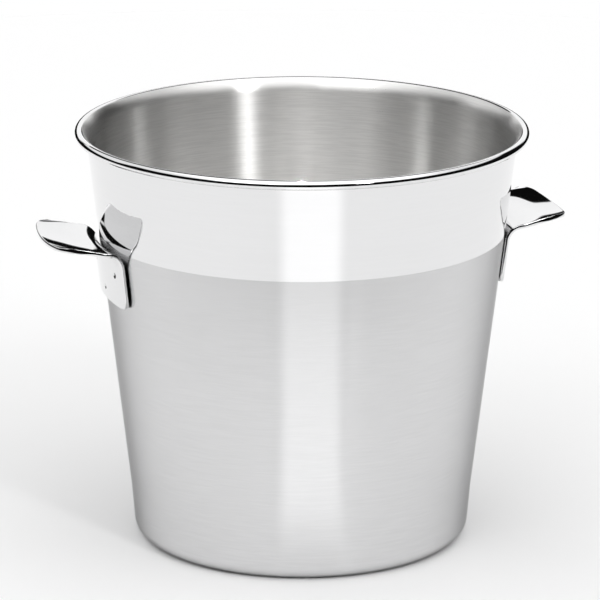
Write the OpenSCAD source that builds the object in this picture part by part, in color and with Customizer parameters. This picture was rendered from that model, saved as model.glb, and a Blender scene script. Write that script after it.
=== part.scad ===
// Champagne bucket in stainless steel: a tapered shell with a curled rim and
// two pressed lug handles, each spot-welded to the wall at three points.
// Millimetres. +Z is up, the bucket stands on z = 0, the handles lie on +X and -X.

/* [Shell] */
// Outside diameter over the curled rim
rim_d = 220; // [200:1:240]
// Height from the foot to the top of the rim
body_h = 204.5; // [190:0.5:220]
// Thickness of the shell's sheet
shell_t = 1; // [0.8:0.1:1.2]
// Outside diameter that the skirt would have at the floor
foot_d = 163.2; // [155:0.2:170]
// Height of the steeper skirt above the foot
skirt_h = 24.7; // [15:0.1:35]
// Lean of the skirt from upright, in degrees
skirt_lean = 4.9; // [3:0.1:6]
// Outside radius of the corner between the skirt and the foot
foot_corner_r = 8.5; // [5:0.5:12]
// Diameter of the raised panel in the middle of the base
panel_d = 122; // [100:1:126]
// How far the middle panel stands above the foot ring
panel_rise = 2; // [1:0.5:3]
// Radius of each bend around the middle panel
panel_bend_r = 4; // [3:0.5:6]

/* [Rim] */
// Radius of the round curl, over the sheet
curl_r = 2.3; // [2:0.1:2.6]
// Radius of the flare that leads from the wall into the curl
flare_r = 10; // [8:0.5:12]
// Slope of the sheet where the flare passes into the curl, in degrees
flare_end = 45; // [40:1:50]
// Slope of the sheet where the round curl begins, in degrees
curl_start = 33; // [20:1:40]
// Slope of the sheet at the curl's free edge, in degrees
curl_end = -240; // [-245:1:-200]

/* [Handles] */
// Thickness of the handles' sheet
handle_t = 2; // [1.5:0.1:2.5]
// Half of the angle that the tab spans around the bucket's axis
tab_half_angle = 16; // [11:0.5:17]
// Half of the angle that the lug's outer edge spans around that axis
lug_half_angle = 13.5; // [10:0.5:17]
// Height of the tab's lower edge
tab_bottom_z = 125.5; // [115:0.5:130]
// Height of the centre that the sheet bends around
bend_z = 146; // [140:0.5:150]
// Inside radius of the bend between the tab and the lug
bend_r = 7.5; // [5:0.5:9]
// Radius of the lug's outer edge, about the bucket's axis
tip_r = 129.5; // [124:0.5:136]
// Upward slope of the lug, in degrees
lug_slope = 5.5; // [0:0.5:12]
// How far the lug's outer edge turns up above that slope
tip_lift = 1.2; // [0:0.1:3]
// How deep the lug is dished between its sides
dish_h = 2; // [0:0.1:4]
// Share of the lug's length over which the dish grows
dish_run = 0.6; // [0.3:0.1:1]
// Radius of the lug's two outer corners
lug_corner_r = 7; // [3:0.5:10]
// Radius of the tab's two lower corners
tab_corner_r = 4.5; // [1:0.5:8]
// Clearance between the tab and the wall in the middle of the tab
tab_gap = 0.1; // [0.05:0.05:0.3]
// How much further the tab's side edges stand off the wall
tab_edge_lift = 0.8; // [0:0.1:1.5]

/* [Spot welds] */
// Diameter of a weld nugget
nugget_d = 5; // [4:0.5:6]
// How deep a nugget reaches into each sheet
nugget_bite = 0.6; // [0.4:0.1:0.7]
// Angle from the tab's middle to each upper weld
upper_weld_angle = 10.5; // [7:0.1:11]
// Height of the two upper welds
upper_weld_z = 141.5; // [136:0.5:143]
// Height of the lower weld, in the tab's middle
lower_weld_z = 131.5; // [129:0.5:134]

/* [Hidden] */
$fn = 96;

shell_half_t = shell_t / 2;
handle_half_t = handle_t / 2;
rim_r = rim_d / 2;
foot_r = foot_d / 2;

// Centre of the curl's circle, and the radius of the sheet's middle line in it
curl_c = [rim_r - curl_r, body_h - curl_r];
curl_mid_r = curl_r - shell_half_t;

// The skirt leans from the foot to the wall, and the wall leans on to the flare.
wall_foot = [foot_r + skirt_h * tan(skirt_lean), skirt_h];
// The flare's centre sits on the line through the curl's centre at the flare's end slope.
flare_c = curl_c - (flare_r - curl_mid_r) * left_of(flare_end);
// The wall's middle line is the tangent from its foot to the flare's circle.
wall_start = wall_foot - [shell_half_t, 0];
flare_reach = norm(flare_c - wall_start);
wall_slope = atan2(flare_c[1] - wall_start[1], flare_c[0] - wall_start[0]) + asin(flare_r / flare_reach);
wall_lean = 90 - wall_slope;

// Centre of the corner between the foot ring and the skirt
corner_c = [foot_r + foot_corner_r * tan(skirt_lean) - foot_corner_r / cos(skirt_lean), foot_corner_r];
corner_mid_r = foot_corner_r - shell_half_t;

// Each bend around the middle panel turns by this angle.
panel_turn = acos(1 - panel_rise / (2 * panel_bend_r));
panel_run = 2 * panel_bend_r * sin(panel_turn);
panel_in_c = [panel_d / 2, panel_rise + shell_half_t - panel_bend_r];
panel_out_c = [panel_d / 2 + panel_run, shell_half_t + panel_bend_r];

// Steps along each arc of the shell's profile
panel_n = 6;
corner_n = 14;
flare_n = 8;
curl_n = 24;

// Steps across and along a handle's sheet
across_n = 18;
tab_n = 4;
bend_n = 8;
lug_n = 9;
along_n = tab_n + bend_n + lug_n;

// Unit vector to the left of a heading, in the plane of a profile
function left_of(heading) = [-sin(heading), cos(heading)];

// Points on an arc of the sheet that turns left around a centre, then one that turns right
function left_arc(c, r, from, to, n) = [for (i = [0:n]) c - r * left_of(from + (to - from) * i / n)];
function right_arc(c, r, from, to, n) = [for (i = [0:n]) c + r * left_of(from + (to - from) * i / n)];

// One face of the shell's sheet, from the middle of the base to the curl's free edge.
// Side is +1 for the inside of the bucket and -1 for the outside.
function shell_face(side) = let (e = side * shell_half_t) concat(
    [[0, panel_rise + shell_half_t + e]],
    right_arc(panel_in_c, panel_bend_r + e, 0, -panel_turn, panel_n),
    left_arc(panel_out_c, panel_bend_r - e, -panel_turn, 0, panel_n),
    left_arc(corner_c, corner_mid_r - e, 0, 90 - skirt_lean, corner_n),
    [wall_foot + [-shell_half_t, 0] + e * left_of(wall_slope)],
    right_arc(flare_c, flare_r + e, wall_slope, flare_end, flare_n),
    right_arc(curl_c, curl_mid_r + e, curl_start, curl_end, curl_n)
);

function reverse(list) = [for (i = [len(list) - 1:-1:0]) list[i]];

// Outside radius of the wall at a height
function wall_r(z) = wall_foot[0] + (z - skirt_h) * tan(wall_lean);

// A point on the middle line of a handle's sheet is [radius, height, slope]. Across the
// handle v runs from -1 to 1, and rings i run from the tab's lower edge to the lug's outer edge.
bend_mid_r = bend_r + handle_half_t;
lug_half_w = tip_r * lug_half_angle * PI / 180;
tab_half_w = wall_r(tab_bottom_z) * tab_half_angle * PI / 180;

function bend_centre(v) = [
    wall_r(bend_z) + (tab_gap + tab_edge_lift * v * v + handle_t + bend_r) / cos(wall_lean),
    bend_z
];

// Grows from 0 to 1 with level ends
function ease(t) = t * t * (3 - 2 * t);

// How far a corner of radius r pulls back the end of a sheet that is 2 * half_w wide
function corner_pull(v, r, half_w) =
    let (x = max(0, (abs(v) - 1) * half_w + r)) r - sqrt(max(0, r * r - x * x));

function tab_point(v, f) = let (
    end_z = tab_bottom_z + corner_pull(v, tab_corner_r, tab_half_w),
    start = bend_centre(v) + bend_mid_r * left_of(wall_slope),
    down = (start[1] - end_z) / sin(wall_slope)
) concat(start - (1 - f) * down * [cos(wall_slope), sin(wall_slope)], wall_slope);

function bend_point(v, f) =
    let (slope = wall_slope + (lug_slope - wall_slope) * f)
    concat(bend_centre(v) + bend_mid_r * left_of(slope), slope);

function lug_point(v, f) = let (
    start = bend_centre(v) + bend_mid_r * left_of(lug_slope),
    reach = (tip_r - start[0]) / cos(lug_slope) - corner_pull(v, lug_corner_r, lug_half_w),
    dish = dish_h * (v * v - 0.5) * ease(min(1, f / dish_run)),
    lift = tip_lift * pow(f, 4)
) concat(start + f * reach * [cos(lug_slope), sin(lug_slope)] + [0, dish + lift], lug_slope);

function mid_point(v, i) =
    i <= tab_n ? tab_point(v, i / tab_n) :
    i <= tab_n + bend_n ? bend_point(v, (i - tab_n) / bend_n) :
    lug_point(v, (i - tab_n - bend_n) / lug_n);

function half_angle(i) =
    tab_half_angle + (lug_half_angle - tab_half_angle) * max(0, (i - tab_n - bend_n) / lug_n);

// A point on one face of the sheet: face is +1 for the wall side and top, -1 for the outside
function handle_point(i, j, face) = let (
    v = sin(90 * (2 * j / across_n - 1)),
    mid = mid_point(v, i),
    p = [mid[0], mid[1]] + face * handle_half_t * left_of(mid[2]),
    turn = v * half_angle(i)
) [p[0] * cos(turn), p[0] * sin(turn), p[1]];

function row(i, j, face) = 2 * (i * (across_n + 1) + j) + (face > 0 ? 1 : 0);
function quad(a, b, c, d) = [[a, b, c], [a, c, d]];

// The pressed sheet, on the +X side
module handle_sheet() {
    points = [for (i = [0:along_n], j = [0:across_n], face = [-1, 1]) handle_point(i, j, face)];
    skins = [for (i = [0:along_n - 1], j = [0:across_n - 1], face = [-1, 1]) let (
        a = row(i, j, face),
        b = row(i + 1, j, face),
        c = row(i + 1, j + 1, face),
        d = row(i, j + 1, face)
    ) each face > 0 ? quad(a, b, c, d) : quad(d, c, b, a)];
    sides = [for (i = [0:along_n - 1], j = [0, across_n]) let (
        a = row(i, j, -1),
        b = row(i + 1, j, -1),
        c = row(i + 1, j, 1),
        d = row(i, j, 1)
    ) each j == 0 ? quad(a, b, c, d) : quad(d, c, b, a)];
    ends = [for (i = [0, along_n], j = [0:across_n - 1]) let (
        a = row(i, j, -1),
        b = row(i, j + 1, -1),
        c = row(i, j + 1, 1),
        d = row(i, j, 1)
    ) each i == 0 ? quad(d, c, b, a) : quad(a, b, c, d)];
    polyhedron(points, concat(skins, sides, ends), convexity = 6);
}

// Puts its children at each weld, on the wall's outer surface, with +Z along the wall's normal
module at_welds() {
    for (weld = [[-upper_weld_angle, upper_weld_z], [upper_weld_angle, upper_weld_z], [0, lower_weld_z]])
        rotate([0, 0, weld[0]])
            translate([wall_r(weld[1]), 0, weld[1]])
                rotate([0, 90 + wall_lean, 0])
                    children();
}

// A nugget bites into the wall and, across the gap, into the tab.
module nugget() {
    translate([0, 0, -nugget_bite])
        cylinder(d = nugget_d, h = 2 * nugget_bite + tab_gap);
}

module handle() {
    color("silver") handle_sheet();
}

module handle_welds() {
    color("dimgray") at_welds() nugget();
}

module bucket_shell() {
    color("gainsboro")
        rotate_extrude() polygon(concat(shell_face(1), reverse(shell_face(-1))));
}

module right_handle() {
    handle();
}

module left_handle() {
    rotate([0, 0, 180]) handle();
}

module right_handle_welds() {
    handle_welds();
}

module left_handle_welds() {
    rotate([0, 0, 180]) handle_welds();
}

bucket_shell();
left_handle();
right_handle();
left_handle_welds();
right_handle_welds();
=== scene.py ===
"""Looks of the stainless steel champagne bucket: its finishes, smooth meshes, studio and camera."""
import math

import bpy
import numpy as np
from mathutils import Matrix, Vector


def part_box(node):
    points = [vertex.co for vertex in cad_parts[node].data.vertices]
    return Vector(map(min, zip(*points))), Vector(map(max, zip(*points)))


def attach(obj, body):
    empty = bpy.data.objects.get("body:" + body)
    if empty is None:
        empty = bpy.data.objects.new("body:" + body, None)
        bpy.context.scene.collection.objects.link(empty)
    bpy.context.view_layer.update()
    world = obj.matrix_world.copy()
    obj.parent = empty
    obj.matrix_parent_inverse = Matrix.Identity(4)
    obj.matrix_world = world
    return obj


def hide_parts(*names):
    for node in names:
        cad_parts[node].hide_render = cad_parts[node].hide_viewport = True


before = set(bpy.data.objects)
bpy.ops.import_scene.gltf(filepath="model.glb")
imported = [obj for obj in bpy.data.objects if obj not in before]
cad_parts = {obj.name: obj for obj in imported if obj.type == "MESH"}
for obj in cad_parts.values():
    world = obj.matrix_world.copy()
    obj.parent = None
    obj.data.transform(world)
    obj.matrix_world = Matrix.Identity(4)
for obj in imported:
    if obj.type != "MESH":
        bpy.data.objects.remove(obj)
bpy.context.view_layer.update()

# ---------------------------------------------------------------- dimensions
# Millimetres, as the CAD part has them. The rim and the height come from the shell's box in
# model.glb.
MM = 0.001
SHELL_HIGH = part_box("bucket_shell")[1]
RIM_R = SHELL_HIGH.x / MM
BODY_H = SHELL_HIGH.z / MM

SHELL_T = 1.0
FOOT_R = 81.6
SKIRT_H = 24.7
SKIRT_LEAN = 4.9
FOOT_CORNER_R = 8.5
PANEL_R = 61.0
PANEL_RISE = 2.0
PANEL_BEND_R = 4.0
CURL_R = 2.3
FLARE_R = 10.0
FLARE_END = 45.0
CURL_START = 33.0
CURL_END = -240.0
POLISH_Z = 153.7

HANDLE_T = 2.0
TAB_HALF_ANGLE = 16.0
LUG_HALF_ANGLE = 13.5
TAB_BOTTOM_Z = 125.5
BEND_Z = 146.0
BEND_R = 7.5
TIP_R = 129.5
LUG_SLOPE = 5.5
TIP_LIFT = 1.2
DISH_H = 2.0
DISH_RUN = 0.6
LUG_CORNER_R = 7.0
TAB_CORNER_R = 4.5
TAB_GAP = 0.1
TAB_EDGE_LIFT = 0.8

DIMPLE_R = 1.5
DIMPLE_DEPTH = 0.7
DIMPLE_ROUNDING = 0.8
# Share of a dimple's radius that is painted dark: painted shade for the dimple's dark reflection
DIMPLE_SHADE_SHARE = 0.9
UPPER_WELD_ANGLE = 10.5
UPPER_WELD_Z = 141.5
LOWER_WELD_Z = 131.5


def left_of(heading):
    """Unit vector to the left of a heading, in the plane of a profile."""
    turn = math.radians(heading)
    return np.array([-math.sin(turn), math.cos(turn)])


def along(heading):
    """Unit vector along a heading, in the plane of a profile."""
    turn = math.radians(heading)
    return np.array([math.cos(turn), math.sin(turn)])


# The wall is the tangent from the skirt's top to the flare's circle.
WALL_FOOT = np.array([FOOT_R + SKIRT_H * math.tan(math.radians(SKIRT_LEAN)), SKIRT_H])
CURL_C = np.array([RIM_R - CURL_R, BODY_H - CURL_R])
CURL_MID_R = CURL_R - SHELL_T / 2
FLARE_C = CURL_C - (FLARE_R - CURL_MID_R) * left_of(FLARE_END)
_to_flare = FLARE_C - (WALL_FOOT - [SHELL_T / 2, 0])
WALL_SLOPE = math.degrees(
    math.atan2(_to_flare[1], _to_flare[0]) + math.asin(FLARE_R / np.linalg.norm(_to_flare))
)
WALL_LEAN = math.radians(90 - WALL_SLOPE)


def wall_r(z):
    """Outside radius of the wall at a height."""
    return WALL_FOOT[0] + (z - SKIRT_H) * math.tan(WALL_LEAN)


# ---------------------------------------------------------------- mesh tools
def new_object(name, vertices, faces, materials, face_slots=None):
    """A smooth-shaded mesh object from points in millimetres."""
    mesh = bpy.data.meshes.new(name)
    mesh.from_pydata((np.asarray(vertices) * MM).tolist(), [], faces)
    for material in materials:
        mesh.materials.append(material)
    if face_slots is not None:
        mesh.polygons.foreach_set("material_index", face_slots)
    mesh.polygons.foreach_set("use_smooth", [True] * len(mesh.polygons))
    mesh.update()
    piece = bpy.data.objects.new(name, mesh)
    bpy.context.scene.collection.objects.link(piece)
    return piece


def spaced(start, end, count, support=0.0):
    """Values from start to end, with a support value close to each end if asked for."""
    values = list(np.linspace(start, end, count + 1))
    if support:
        step = math.copysign(support, end - start)
        values = [start, start + step] + values[1:-1] + [end - step, end]
    return values


# ---------------------------------------------------------------- the shell
INSIDE, POLISHED, SATIN, UNDER = range(4)

# Faces round the bucket, and steps along each stretch of its profile
AROUND = 288
PANEL_STEPS = 12
BEND_STEPS = 6
CORNER_STEPS = 20
WALL_STEPS = 24
FLARE_STEPS = 16
CURL_STEPS = 56
SKIRT_SHARES = (0.02, 0.25, 0.5, 0.75, 0.93, 1.0)
PANEL_SUPPORT = 0.6
WALL_SUPPORT = 0.8


def shell_face(side):
    """One face of the sheet from the base's middle to the curl's edge, as (radius, height, finish)
    with the finish of the stretch that follows. Side is +1 inside the bucket and -1 outside."""
    half = side * SHELL_T / 2
    base = INSIDE if side > 0 else UNDER
    points = []

    def add(point, finish):
        points.append((point[0], point[1], finish))

    def arc(centre, radius, start, end, count, turn, finish):
        for heading in np.linspace(start, end, count + 1):
            add(centre + turn * radius * left_of(heading), finish)

    panel_turn = math.degrees(math.acos(1 - PANEL_RISE / (2 * PANEL_BEND_R)))
    panel_run = 2 * PANEL_BEND_R * math.sin(math.radians(panel_turn))
    panel_z = PANEL_RISE + SHELL_T / 2
    for r in spaced(0, PANEL_R, PANEL_STEPS, PANEL_SUPPORT)[:-1]:
        add((r, panel_z + half), base)
    upper_bend = np.array([PANEL_R, panel_z - PANEL_BEND_R])
    lower_bend = np.array([PANEL_R + panel_run, SHELL_T / 2 + PANEL_BEND_R])
    arc(upper_bend, PANEL_BEND_R + half, 0, -panel_turn, BEND_STEPS, 1, base)
    # The bends meet at the upper one's last point, so the lower one starts a step later.
    next_turn = -panel_turn * (1 - 1 / BEND_STEPS)
    arc(lower_bend, PANEL_BEND_R - half, next_turn, 0, BEND_STEPS - 1, -1, base)
    lean = math.radians(SKIRT_LEAN)
    corner_out = FOOT_R + FOOT_CORNER_R * (math.tan(lean) - 1 / math.cos(lean))
    corner_c = np.array([corner_out, FOOT_CORNER_R])
    wall = INSIDE if side > 0 else SATIN
    corner_r = FOOT_CORNER_R - SHELL_T / 2 - half
    arc(corner_c, corner_r, 0, 90 - SKIRT_LEAN, CORNER_STEPS, -1, wall)

    skirt_top = WALL_FOOT - [SHELL_T / 2, 0] + half * left_of(WALL_SLOPE)
    skirt_foot = np.array(points[-1][:2])
    for share in SKIRT_SHARES:
        add(skirt_foot + share * (skirt_top - skirt_foot), wall)
    wall_top = FLARE_C + (FLARE_R + half) * left_of(WALL_SLOPE)
    heights = spaced(skirt_top[1], wall_top[1], WALL_STEPS, WALL_SUPPORT)[1:-1]
    if side < 0:
        heights = sorted(heights + [POLISH_Z])
    for z in heights:
        share = (z - skirt_top[1]) / (wall_top[1] - skirt_top[1])
        finish = wall if side > 0 or z < POLISH_Z else POLISHED
        add(skirt_top + share * (wall_top - skirt_top), finish)
    flare = INSIDE if side > 0 else POLISHED
    arc(FLARE_C, FLARE_R + half, WALL_SLOPE, FLARE_END, FLARE_STEPS, 1, flare)
    arc(CURL_C, CURL_MID_R + half, CURL_START, CURL_END, CURL_STEPS, 1, POLISHED)
    return points


def build_shell(materials):
    inside, outside = shell_face(1), shell_face(-1)
    outline = inside + outside[::-1]
    # A stretch takes the finish of its lower end: on the way back that is the next point's.
    finishes = [p[2] for p in inside] + [p[2] for p in outside[::-1][1:]]
    turns = np.linspace(0, 2 * math.pi, AROUND, endpoint=False)
    vertices, rings = [], []
    for r, z, _ in outline:
        if r < 1e-9:
            rings.append([len(vertices)])
            vertices.append((0, 0, z))
            continue
        rings.append(list(range(len(vertices), len(vertices) + AROUND)))
        vertices += [(r * math.cos(t), r * math.sin(t), z) for t in turns]
    faces, slots = [], []
    for k in range(len(outline) - 1):
        low, high = rings[k], rings[k + 1]
        for a in range(AROUND):
            b = (a + 1) % AROUND
            if len(low) == 1:
                face = [low[0], high[a], high[b]]
            elif len(high) == 1:
                face = [low[a], high[0], low[b]]
            else:
                face = [low[a], high[a], high[b], low[b]]
            faces.append(face)
            slots.append(finishes[k])
    return new_object("bucket_shell_metal", vertices, faces, materials, slots)


# ---------------------------------------------------------------- the handles
# Distances in from the sheet's side edge, and shares of the tab's and the lug's length. They
# are closer together at the sheet's edges, where the subdivision rounds it.
EDGE_COLUMNS = (0.0, 0.7, 1.6, 2.8, 4.3, 6.2)
MIDDLE_COLUMNS = 12
TAB_END_ROWS = (0.0, 0.032, 0.08, 0.15)
LUG_END_ROWS = (0.88, 0.93, 0.97, 1.0)


def corner_pull(edge_distance, radius):
    """How far a rounded corner pulls back the sheet's end at a distance from its side edge."""
    x = max(0.0, radius - edge_distance)
    return radius - math.sqrt(radius * radius - x * x)


def columns(half_width):
    """Distances across the sheet from its side edge, closer together at the edge."""
    middle = np.linspace(EDGE_COLUMNS[-1], half_width, MIDDLE_COLUMNS + 1)[1:]
    return list(EDGE_COLUMNS) + list(middle)


def sheet_middle(v, section, share, edge):
    """A point of the sheet's middle surface: radius, height, slope and half angle."""
    off_wall = TAB_GAP + TAB_EDGE_LIFT * v * v + HANDLE_T + BEND_R
    centre = np.array([wall_r(BEND_Z) + off_wall / math.cos(WALL_LEAN), BEND_Z])
    radius = BEND_R + HANDLE_T / 2
    if section == "tab":
        start = centre + radius * left_of(WALL_SLOPE)
        end_z = TAB_BOTTOM_Z + corner_pull(edge, TAB_CORNER_R)
        down = (start[1] - end_z) / math.sin(math.radians(WALL_SLOPE))
        point = start - (1 - share) * down * along(WALL_SLOPE)
        return point, WALL_SLOPE, TAB_HALF_ANGLE
    if section == "bend":
        slope = WALL_SLOPE + (LUG_SLOPE - WALL_SLOPE) * share
        return centre + radius * left_of(slope), slope, TAB_HALF_ANGLE
    start = centre + radius * left_of(LUG_SLOPE)
    reach = (TIP_R - start[0]) / math.cos(math.radians(LUG_SLOPE))
    reach -= corner_pull(edge, LUG_CORNER_R)
    point = start + share * reach * along(LUG_SLOPE)
    grown = min(1.0, share / DISH_RUN)
    point[1] += DISH_H * (v * v - 0.5) * grown * grown * (3 - 2 * grown)
    point[1] += TIP_LIFT * share ** 4
    return point, LUG_SLOPE, TAB_HALF_ANGLE + (LUG_HALF_ANGLE - TAB_HALF_ANGLE) * share


def sheet_rows():
    """Rows along the sheet as (section, share), closer together at its two ends."""
    tab = list(TAB_END_ROWS) + list(np.linspace(0.23, 1, 12))
    bend = list(np.linspace(0, 1, 9))[1:]
    lug = list(np.linspace(0, 0.82, 9))[1:] + list(LUG_END_ROWS)
    return [("tab", s) for s in tab] + [("bend", s) for s in bend] + [("lug", s) for s in lug]


def sheet_grid():
    """Points of both faces of the sheet, as an array [row, column, face, xyz]."""
    half_width = wall_r(TAB_BOTTOM_Z) * math.radians(TAB_HALF_ANGLE)
    edges = columns(half_width)
    across = [(-1 + e / half_width, e) for e in edges]
    across += [(1 - e / half_width, e) for e in edges[-2::-1]]
    rows = sheet_rows()
    grid = np.zeros((len(rows), len(across), 2, 3))
    for i, (section, share) in enumerate(rows):
        for j, (v, edge) in enumerate(across):
            middle, slope, half_angle = sheet_middle(v, section, share, edge)
            turn = math.radians(v * half_angle)
            for k, face in enumerate((-1, 1)):
                r, z = middle + face * HANDLE_T / 2 * left_of(slope)
                grid[i, j, k] = (r * math.cos(turn), r * math.sin(turn), z)
    return grid


def smoothed(piece, levels):
    """Bakes a subdivision surface into a piece's mesh."""
    modifier = piece.modifiers.new("round_edges", "SUBSURF")
    modifier.levels = modifier.render_levels = levels
    depsgraph = bpy.context.evaluated_depsgraph_get()
    mesh = bpy.data.meshes.new_from_object(piece.evaluated_get(depsgraph))
    piece.modifiers.clear()
    piece.data = mesh
    return piece


def press_dimples(mesh):
    """Sinks a small round dimple into the tab's outer face at each spot weld. The dimple's middle
    faces get the second material, a dark colour that is painted shade standing in for the dimple's
    dark reflection."""
    points = np.array([v.co for v in mesh.vertices]) / MM
    normals = np.array([n.vector for n in mesh.vertex_normals])
    welds = (
        (-UPPER_WELD_ANGLE, UPPER_WELD_Z),
        (UPPER_WELD_ANGLE, UPPER_WELD_Z),
        (0, LOWER_WELD_Z),
    )
    dimple_shade_mask = np.zeros(len(points), dtype=bool)
    for angle, z in welds:
        outward = np.array([math.cos(math.radians(angle)), math.sin(math.radians(angle)), 0])
        weld = wall_r(z) * outward + [0, 0, z]
        offset = points - weld
        # The tab's own thickness lies along the outward direction, so it doesn't count.
        flat = offset - np.outer(offset @ outward, outward)
        distance = np.linalg.norm(flat, axis=1)
        outer = (normals @ outward > 0.5) & (points[:, 0] > 0)
        bowl = np.clip(1 - (distance / DIMPLE_R) ** 2, 0, 1) ** DIMPLE_ROUNDING
        points[outer] -= (DIMPLE_DEPTH * bowl[:, None] * outward)[outer]
        # Vertices near each dimple's middle get painted shade, a dark colour for the dimple's dark
        # reflection.
        dimple_shade_mask |= outer & (distance < DIMPLE_SHADE_SHARE * DIMPLE_R)
    mesh.vertices.foreach_set("co", (points * MM).ravel())
    for face in mesh.polygons:
        face.material_index = int(all(dimple_shade_mask[k] for k in face.vertices))
    mesh.update()


def build_handle(name, turned, materials):
    grid = sheet_grid()
    n_rows, n_columns = grid.shape[:2]

    def at(i, j, k):
        return 2 * (i * n_columns + j) + k

    faces = []
    for i in range(n_rows - 1):
        for j in range(n_columns - 1):
            faces.append([at(i, j, 0), at(i, j + 1, 0), at(i + 1, j + 1, 0), at(i + 1, j, 0)])
            faces.append([at(i, j, 1), at(i + 1, j, 1), at(i + 1, j + 1, 1), at(i, j + 1, 1)])
        last = n_columns - 1
        faces.append([at(i, 0, 0), at(i + 1, 0, 0), at(i + 1, 0, 1), at(i, 0, 1)])
        faces.append([at(i, last, 0), at(i, last, 1), at(i + 1, last, 1), at(i + 1, last, 0)])
    for j in range(n_columns - 1):
        last = n_rows - 1
        faces.append([at(0, j, 0), at(0, j, 1), at(0, j + 1, 1), at(0, j + 1, 0)])
        faces.append([at(last, j, 0), at(last, j + 1, 0), at(last, j + 1, 1), at(last, j, 1)])
    piece = smoothed(new_object(name, grid.reshape(-1, 3), faces, materials), 2)
    press_dimples(piece.data)
    if turned:
        piece.data.transform(Matrix.Rotation(math.pi, 4, "Z"))
    return piece


# ---------------------------------------------------------------- materials
class Nodes:
    """Short calls to build a node tree."""

    def __init__(self, tree):
        self.tree = tree
        tree.nodes.clear()

    def add(self, kind, **settings):
        node = self.tree.nodes.new(kind)
        for key, value in settings.items():
            setattr(node, key, value)
        return node

    def feed(self, value, socket):
        if isinstance(value, bpy.types.NodeSocket):
            self.tree.links.new(value, socket)
        else:
            socket.default_value = value

    def math(self, operation, *values):
        node = self.add("ShaderNodeMath", operation=operation)
        for value, socket in zip(values, node.inputs):
            self.feed(value, socket)
        return node.outputs[0]

    def ramp(self, value, low, high, out_low=0.0, out_high=1.0):
        """A smooth step from out_low to out_high as the value goes from low to high."""
        node = self.add("ShaderNodeMapRange", interpolation_type="SMOOTHSTEP")
        names = ("Value", "From Min", "From Max", "To Min", "To Max")
        for given, name in zip((value, low, high, out_low, out_high), names):
            self.feed(given, node.inputs[name])
        return node.outputs["Result"]

    def window(self, value, low, high, soft):
        """1 between low and high, falling to 0 over the soft width outside them."""
        rise = self.ramp(value, low - soft, low)
        fall = self.ramp(value, high, self.math("ADD", high, soft), 1.0, 0.0)
        return self.math("MULTIPLY", rise, fall)

    def split(self, vector):
        """The three parts of a vector."""
        node = self.add("ShaderNodeSeparateXYZ")
        self.feed(vector, node.inputs[0])
        return node.outputs

    def length(self, x, y):
        """Distance from the upright axis."""
        squares = self.math("MULTIPLY", x, x), self.math("MULTIPLY", y, y)
        return self.math("SQRT", self.math("ADD", *squares))

    def azimuth(self, x, y):
        """Degrees round the upright axis: 0 is the camera's side, and it grows to the right."""
        return self.math("DEGREES", self.math("ARCTAN2", x, self.math("MULTIPLY", y, -1.0)))


def stretched_noise(nodes, scale, around, height, detail=3.0, roughness=0.6):
    """Noise over the metal that is stretched round the bucket. Scale is in features per metre,
    divided by around on the level and by height up the wall."""
    x, y, z = nodes.split(nodes.add("ShaderNodeTexCoord").outputs["Object"])
    profile = nodes.math("ADD", z, nodes.length(x, y))
    joined = nodes.add("ShaderNodeCombineXYZ")
    nodes.feed(nodes.math("DIVIDE", x, around), joined.inputs[0])
    nodes.feed(nodes.math("DIVIDE", y, around), joined.inputs[1])
    nodes.feed(nodes.math("DIVIDE", profile, height), joined.inputs[2])
    noise = nodes.add("ShaderNodeTexNoise")
    nodes.feed(joined.outputs[0], noise.inputs["Vector"])
    nodes.feed(scale, noise.inputs["Scale"])
    nodes.feed(detail, noise.inputs["Detail"])
    nodes.feed(roughness, noise.inputs["Roughness"])
    return noise.outputs["Fac"]


CLOUD_SCALE = 18.0
GRAIN_DARK, GRAIN_LIGHT = 0.35, 0.65


def steel(
    name, colour, roughness, spread, grain, depth,
    anisotropy=0.0, streak=24.0, edge=1.0, tone=0.006,
):
    """Stainless steel. The roughness varies by spread. The grain has a number of lines per
    metre, streak times as long as they are wide, and a depth in metres. Edge is the reflectance
    at a glancing angle, and tone is how much lighter and darker the lines are."""
    material = bpy.data.materials.new(name)
    material.use_nodes = True
    nodes = Nodes(material.node_tree)
    shader = nodes.add("ShaderNodeBsdfPrincipled")
    shader.inputs["Metallic"].default_value = 1.0
    shader.inputs["Specular Tint"].default_value = (edge, edge, edge, 1.0)
    shader.inputs["Anisotropic"].default_value = anisotropy
    shader.inputs["Anisotropic Rotation"].default_value = 0.25
    cloud = stretched_noise(nodes, CLOUD_SCALE, 1.0, 1.0, 2.0)
    lines = stretched_noise(nodes, grain, streak, 1.0)
    shade = nodes.add("ShaderNodeVectorMath", operation="SCALE")
    shade.inputs[0].default_value = colour
    level = nodes.ramp(lines, GRAIN_DARK, GRAIN_LIGHT, 1 - tone, 1 + tone)
    nodes.feed(level, shade.inputs["Scale"])
    nodes.feed(shade.outputs[0], shader.inputs["Base Color"])
    rough = nodes.math("MULTIPLY", nodes.math("ADD", cloud, lines), spread)
    nodes.feed(nodes.math("ADD", rough, roughness - spread), shader.inputs["Roughness"])
    if anisotropy:
        tangent = nodes.add("ShaderNodeTangent", direction_type="RADIAL", axis="Z")
        nodes.feed(tangent.outputs[0], shader.inputs["Tangent"])
    bump = nodes.add("ShaderNodeBump")
    bump.inputs["Distance"].default_value = depth
    nodes.feed(lines, bump.inputs["Height"])
    nodes.feed(bump.outputs[0], shader.inputs["Normal"])
    output = nodes.add("ShaderNodeOutputMaterial")
    nodes.feed(shader.outputs[0], output.inputs["Surface"])
    return material


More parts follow.
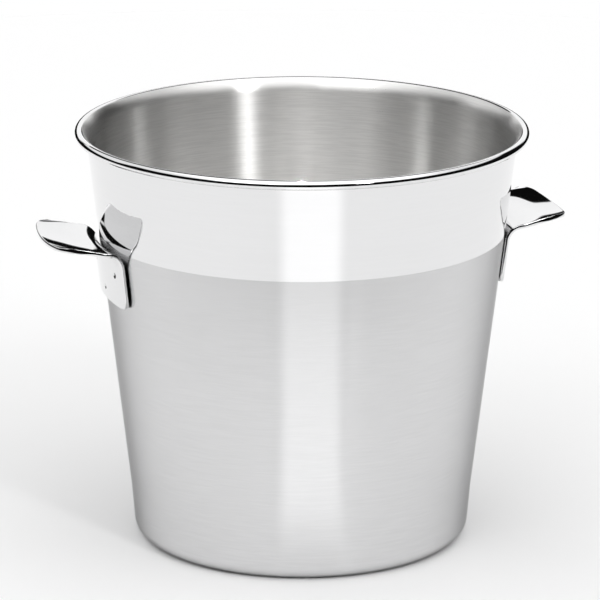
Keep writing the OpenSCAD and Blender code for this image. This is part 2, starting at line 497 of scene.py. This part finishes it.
polished = steel("polished_steel", (0.80, 0.80, 0.805), 0.04, 0.02, 900, 0.000002)
satin = steel(
    "satin_steel", (0.73, 0.73, 0.735), 0.185, 0.03, 1600, 0.000002,
    anisotropy=1.0, edge=0.5, tone=0.03,
)
inside = steel(
    "brushed_inside", (0.85, 0.845, 0.835), 0.28, 0.02, 1600, 0.0000003,
    anisotropy=1.0, tone=0.045,
)
under = steel("satin_under", (0.70, 0.70, 0.71), 0.40, 0.06, 1200, 0.00001)
handle_steel = steel(
    "polished_handle", (0.76, 0.76, 0.765), 0.045, 0.02, 500, 0.000002, streak=3.0
)
# Dark steel for the hidden welds. On the handles it also paints the middle of each dimple dark, as
# painted shade for the dimple's dark reflection.
weld_steel = steel("weld_steel", (0.12, 0.12, 0.12), 0.5, 0.1, 900, 0.00002, streak=1.0)

# ---------------------------------------------------------------- pieces
shell = build_shell([inside, polished, satin, under])
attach(shell, "root")
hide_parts("bucket_shell")

for side, turned in (("right", False), ("left", True)):
    handle = build_handle(f"{side}_handle_metal", turned, [handle_steel, weld_steel])
    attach(handle, "root")
    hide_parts(f"{side}_handle")
    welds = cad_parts[f"{side}_handle_welds"]
    welds.data.materials.clear()
    welds.data.materials.append(weld_steel)

# ---------------------------------------------------------------- camera
# Millimetres and a turn in degrees; the camera's own three angles are in radians.
CAMERA_TURN = 16.0
CAMERA_DISTANCE = 2070.6
CAMERA_HEIGHT = 703.1
CAMERA_PITCH = 0.27582
CAMERA_YAW = 0.000364
CAMERA_ROLL = 0.0027
CAMERA_LENS = 264.0
SENSOR_WIDTH = 36.0
FACING = Matrix.Rotation(math.radians(-CAMERA_TURN), 4, "Z")


def build_camera():
    data = bpy.data.cameras.new("camera")
    data.lens = CAMERA_LENS
    data.sensor_width = SENSOR_WIDTH
    camera = bpy.data.objects.new("camera", data)
    away = Matrix.Translation((0, -CAMERA_DISTANCE * MM, CAMERA_HEIGHT * MM))
    look = (
        Matrix.Rotation(CAMERA_YAW, 4, "Z")
        @ Matrix.Rotation(math.pi / 2 - CAMERA_PITCH, 4, "X")
        @ Matrix.Rotation(CAMERA_ROLL, 4, "Z")
    )
    camera.matrix_world = FACING @ away @ look
    bpy.context.scene.collection.objects.link(camera)
    bpy.context.scene.camera = camera


build_camera()

# ---------------------------------------------------------------- studio
# The floor is a disc behind the bucket's middle: its radii in metres, and its middle's distance.
FLOOR_RINGS = (0.2, 0.4, 0.87)
FLOOR_BACK = 0.36
FLOOR_AROUND = 96


def build_floor():
    middle = FACING @ Vector((0, FLOOR_BACK, 0))
    vertices = [tuple(middle)]
    faces = []
    for r in FLOOR_RINGS:
        first = len(vertices)
        inner = first - FLOOR_AROUND
        for a in range(FLOOR_AROUND):
            t = 2 * math.pi * a / FLOOR_AROUND
            vertices.append((middle.x + r * math.cos(t), middle.y + r * math.sin(t), 0))
            b = (a + 1) % FLOOR_AROUND
            if inner < 0:
                faces.append([0, first + a, first + b])
            else:
                faces.append([inner + a, first + a, first + b, inner + b])
    mesh = bpy.data.meshes.new("floor")
    mesh.from_pydata(vertices, [], faces)
    mesh.update()
    floor = bpy.data.objects.new("floor", mesh)
    bpy.context.scene.collection.objects.link(floor)
    material = bpy.data.materials.new("pale_floor")
    material.use_nodes = True
    shader = material.node_tree.nodes["Principled BSDF"]
    shader.inputs["Base Color"].default_value = (0.93, 0.93, 0.93, 1)
    shader.inputs["Roughness"].default_value = 0.9
    shader.inputs["Specular IOR Level"].default_value = 0.1
    mesh.materials.append(material)


# The studio's azimuths and elevations are in degrees. Azimuth 0 is the camera's side, and it
# grows to the right.
# Each light: middle and half width in azimuth, lowest and highest elevation, width of its soft
# edge, and brightness.
LIGHTS = (
    (33, 2, 27, 40, 3.5, 12.0),
    (-28, 12, 27, 46, 14, 0.9),
)
LIGHT_FADE = 6.0

# The sky's brightness in front, elsewhere and overhead, and where each turns into the next
SKY_FRONT = 1.6
SKY_BACK = 0.95
SKY_TOP = 1.45
FRONT_MIDDLE = 8.0
FRONT_FADE = (45.0, 95.0)
TOP_FADE = (48.0, 62.0)
DARK = 0.004

# The sky starts above a dark horizon, higher behind the bucket and lower to its left.
SKY_FOOT = 28.0
SKY_FOOT_BEHIND = 56.0
SKY_FOOT_FADE = 5.0
BEHIND = (146.0, 156.0)
LEFT_SIDE = (-146.0, -108.0)
LEFT_FADE = 10.0
LEFT_DROP = 16.0

# A bright card stands behind the bucket: brightness, elevation of its foot, and of its top on
# the left and on the right.
CARD = 1.1
CARD_FOOT = 9.0
CARD_TOP = (22.5, 34.0)
CARD_STEP = 0.04
CARD_FADE = 1.5

# A soft wedge of light on the floor in front of the bucket, from a lamp high over its axis. Its
# height and reach are in metres, and the reach's soft edge is in metres per metre of height.
WEDGE_HEIGHT = 1.5
WEDGE_AZIMUTH = (-5.5, 15.5)
WEDGE_REACH = (0.115, 0.5)
WEDGE_SIDE_FADE = 8.0
WEDGE_REACH_FADE = 0.03
WEDGE_CONE = 45.0
WEDGE_POWER = 26.0


def build_wedge():
    data = bpy.data.lights.new("front_wedge", "SPOT")
    data.spot_size = math.radians(WEDGE_CONE)
    data.spot_blend = 0.0
    data.shadow_soft_size = 0.0
    data.energy = WEDGE_POWER
    data.use_nodes = True
    nodes = Nodes(data.node_tree)
    x, y, z = nodes.split(nodes.add("ShaderNodeTexCoord").outputs["Normal"])
    reach = nodes.math("DIVIDE", nodes.length(x, y), nodes.math("ABSOLUTE", z))
    near, far = (distance / WEDGE_HEIGHT for distance in WEDGE_REACH)
    across = nodes.window(nodes.azimuth(x, y), *WEDGE_AZIMUTH, WEDGE_SIDE_FADE)
    out = nodes.window(reach, near, far, WEDGE_REACH_FADE)
    emission = nodes.add("ShaderNodeEmission")
    nodes.feed(nodes.math("MULTIPLY", across, out), emission.inputs["Strength"])
    output = nodes.add("ShaderNodeOutputLight")
    nodes.feed(emission.outputs[0], output.inputs["Surface"])
    lamp = bpy.data.objects.new("front_wedge", data)
    lamp.matrix_world = FACING @ Matrix.Translation((0, 0, WEDGE_HEIGHT))
    bpy.context.scene.collection.objects.link(lamp)


def build_studio():
    """The sky that lights the bucket: pale above, dark at the horizon, with soft lights in it.
    The camera itself sees plain white."""
    world = bpy.data.worlds.new("studio")
    bpy.context.scene.world = world
    world.use_nodes = True
    nodes = Nodes(world.node_tree)
    turn = nodes.add("ShaderNodeVectorRotate", rotation_type="Z_AXIS")
    nodes.feed(nodes.add("ShaderNodeTexCoord").outputs["Generated"], turn.inputs["Vector"])
    nodes.feed(math.radians(CAMERA_TURN), turn.inputs["Angle"])
    x, y, z = nodes.split(turn.outputs[0])
    azimuth = nodes.azimuth(x, y)
    elevation = nodes.math("DEGREES", nodes.math("ARCSINE", z))

    off_front = nodes.math("ABSOLUTE", nodes.math("SUBTRACT", azimuth, FRONT_MIDDLE))
    low_sky = nodes.ramp(off_front, *FRONT_FADE, SKY_FRONT, SKY_BACK)
    pale = nodes.ramp(elevation, *TOP_FADE, low_sky, SKY_TOP)
    behind = nodes.ramp(nodes.math("ABSOLUTE", azimuth), *BEHIND)
    left = nodes.window(azimuth, *LEFT_SIDE, LEFT_FADE)
    foot = nodes.math("MAXIMUM", nodes.math("MULTIPLY", behind, SKY_FOOT_BEHIND), SKY_FOOT)
    foot = nodes.math("SUBTRACT", foot, nodes.math("MULTIPLY", left, LEFT_DROP))
    sky = nodes.ramp(elevation, foot, nodes.math("ADD", foot, SKY_FOOT_FADE), DARK, pale)

    card_top = nodes.ramp(x, -CARD_STEP, CARD_STEP, *CARD_TOP)
    card = nodes.window(elevation, CARD_FOOT, card_top, CARD_FADE)
    card = nodes.math("MULTIPLY", nodes.math("MULTIPLY", behind, card), CARD)
    glow = nodes.math("MAXIMUM", sky, card)
    for middle, half_width, low, high, soft, brightness in LIGHTS:
        across = nodes.window(azimuth, middle - half_width, middle + half_width, soft)
        up = nodes.window(elevation, low, high, LIGHT_FADE)
        light = nodes.math("MULTIPLY", nodes.math("MULTIPLY", across, up), brightness)
        glow = nodes.math("ADD", glow, light)

    lit = nodes.add("ShaderNodeBackground")
    lit.inputs["Color"].default_value = (1, 1, 1, 1)
    nodes.feed(glow, lit.inputs["Strength"])
    plain = nodes.add("ShaderNodeBackground")
    plain.inputs["Color"].default_value = (1, 1, 1, 1)
    mix = nodes.add("ShaderNodeMixShader")
    nodes.feed(nodes.add("ShaderNodeLightPath").outputs["Is Camera Ray"], mix.inputs[0])
    nodes.feed(lit.outputs[0], mix.inputs[1])
    nodes.feed(plain.outputs[0], mix.inputs[2])
    output = nodes.add("ShaderNodeOutputWorld")
    nodes.feed(mix.outputs[0], output.inputs["Surface"])


build_floor()
build_studio()
build_wedge()
bpy.context.scene.view_settings.view_transform = "Standard"
